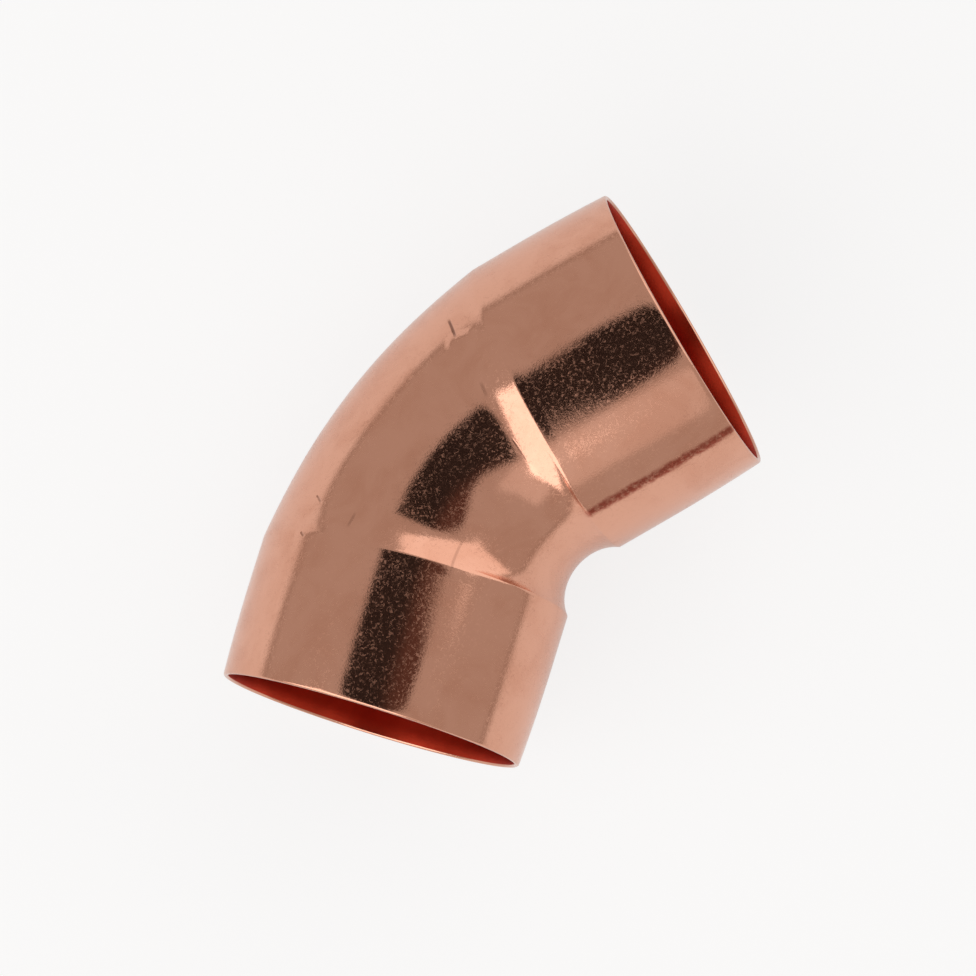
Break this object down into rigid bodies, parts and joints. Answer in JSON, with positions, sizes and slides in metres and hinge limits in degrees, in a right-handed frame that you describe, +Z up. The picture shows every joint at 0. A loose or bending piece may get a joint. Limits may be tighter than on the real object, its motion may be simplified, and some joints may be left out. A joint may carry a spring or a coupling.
{
  "type": "forty-five degree elbow",
  "caption": "Copper tube elbow that turns a pipe run through forty-five degrees, with an expanded solder socket at each end for the tube.",
  "frame": {"origin": "centre of socket A's mouth, on its axis", "axes": "+Z up as the elbow lies at rest, on both sockets and the back of the bend; +X along the line from the centre of socket B's mouth to the centre of socket A's, the longest extent; the back of the bend towards +Y, and the crotch towards -Y and a little up. The plane of the two axes leans 18.3 degrees from level"},
  "size_m": [0.1387, 0.0821, 0.0735],
  "materials": {
    "copper": null
  },
  "bodies": {
    "root": {"elbow": "copper"}
  },
  "joints": []
}
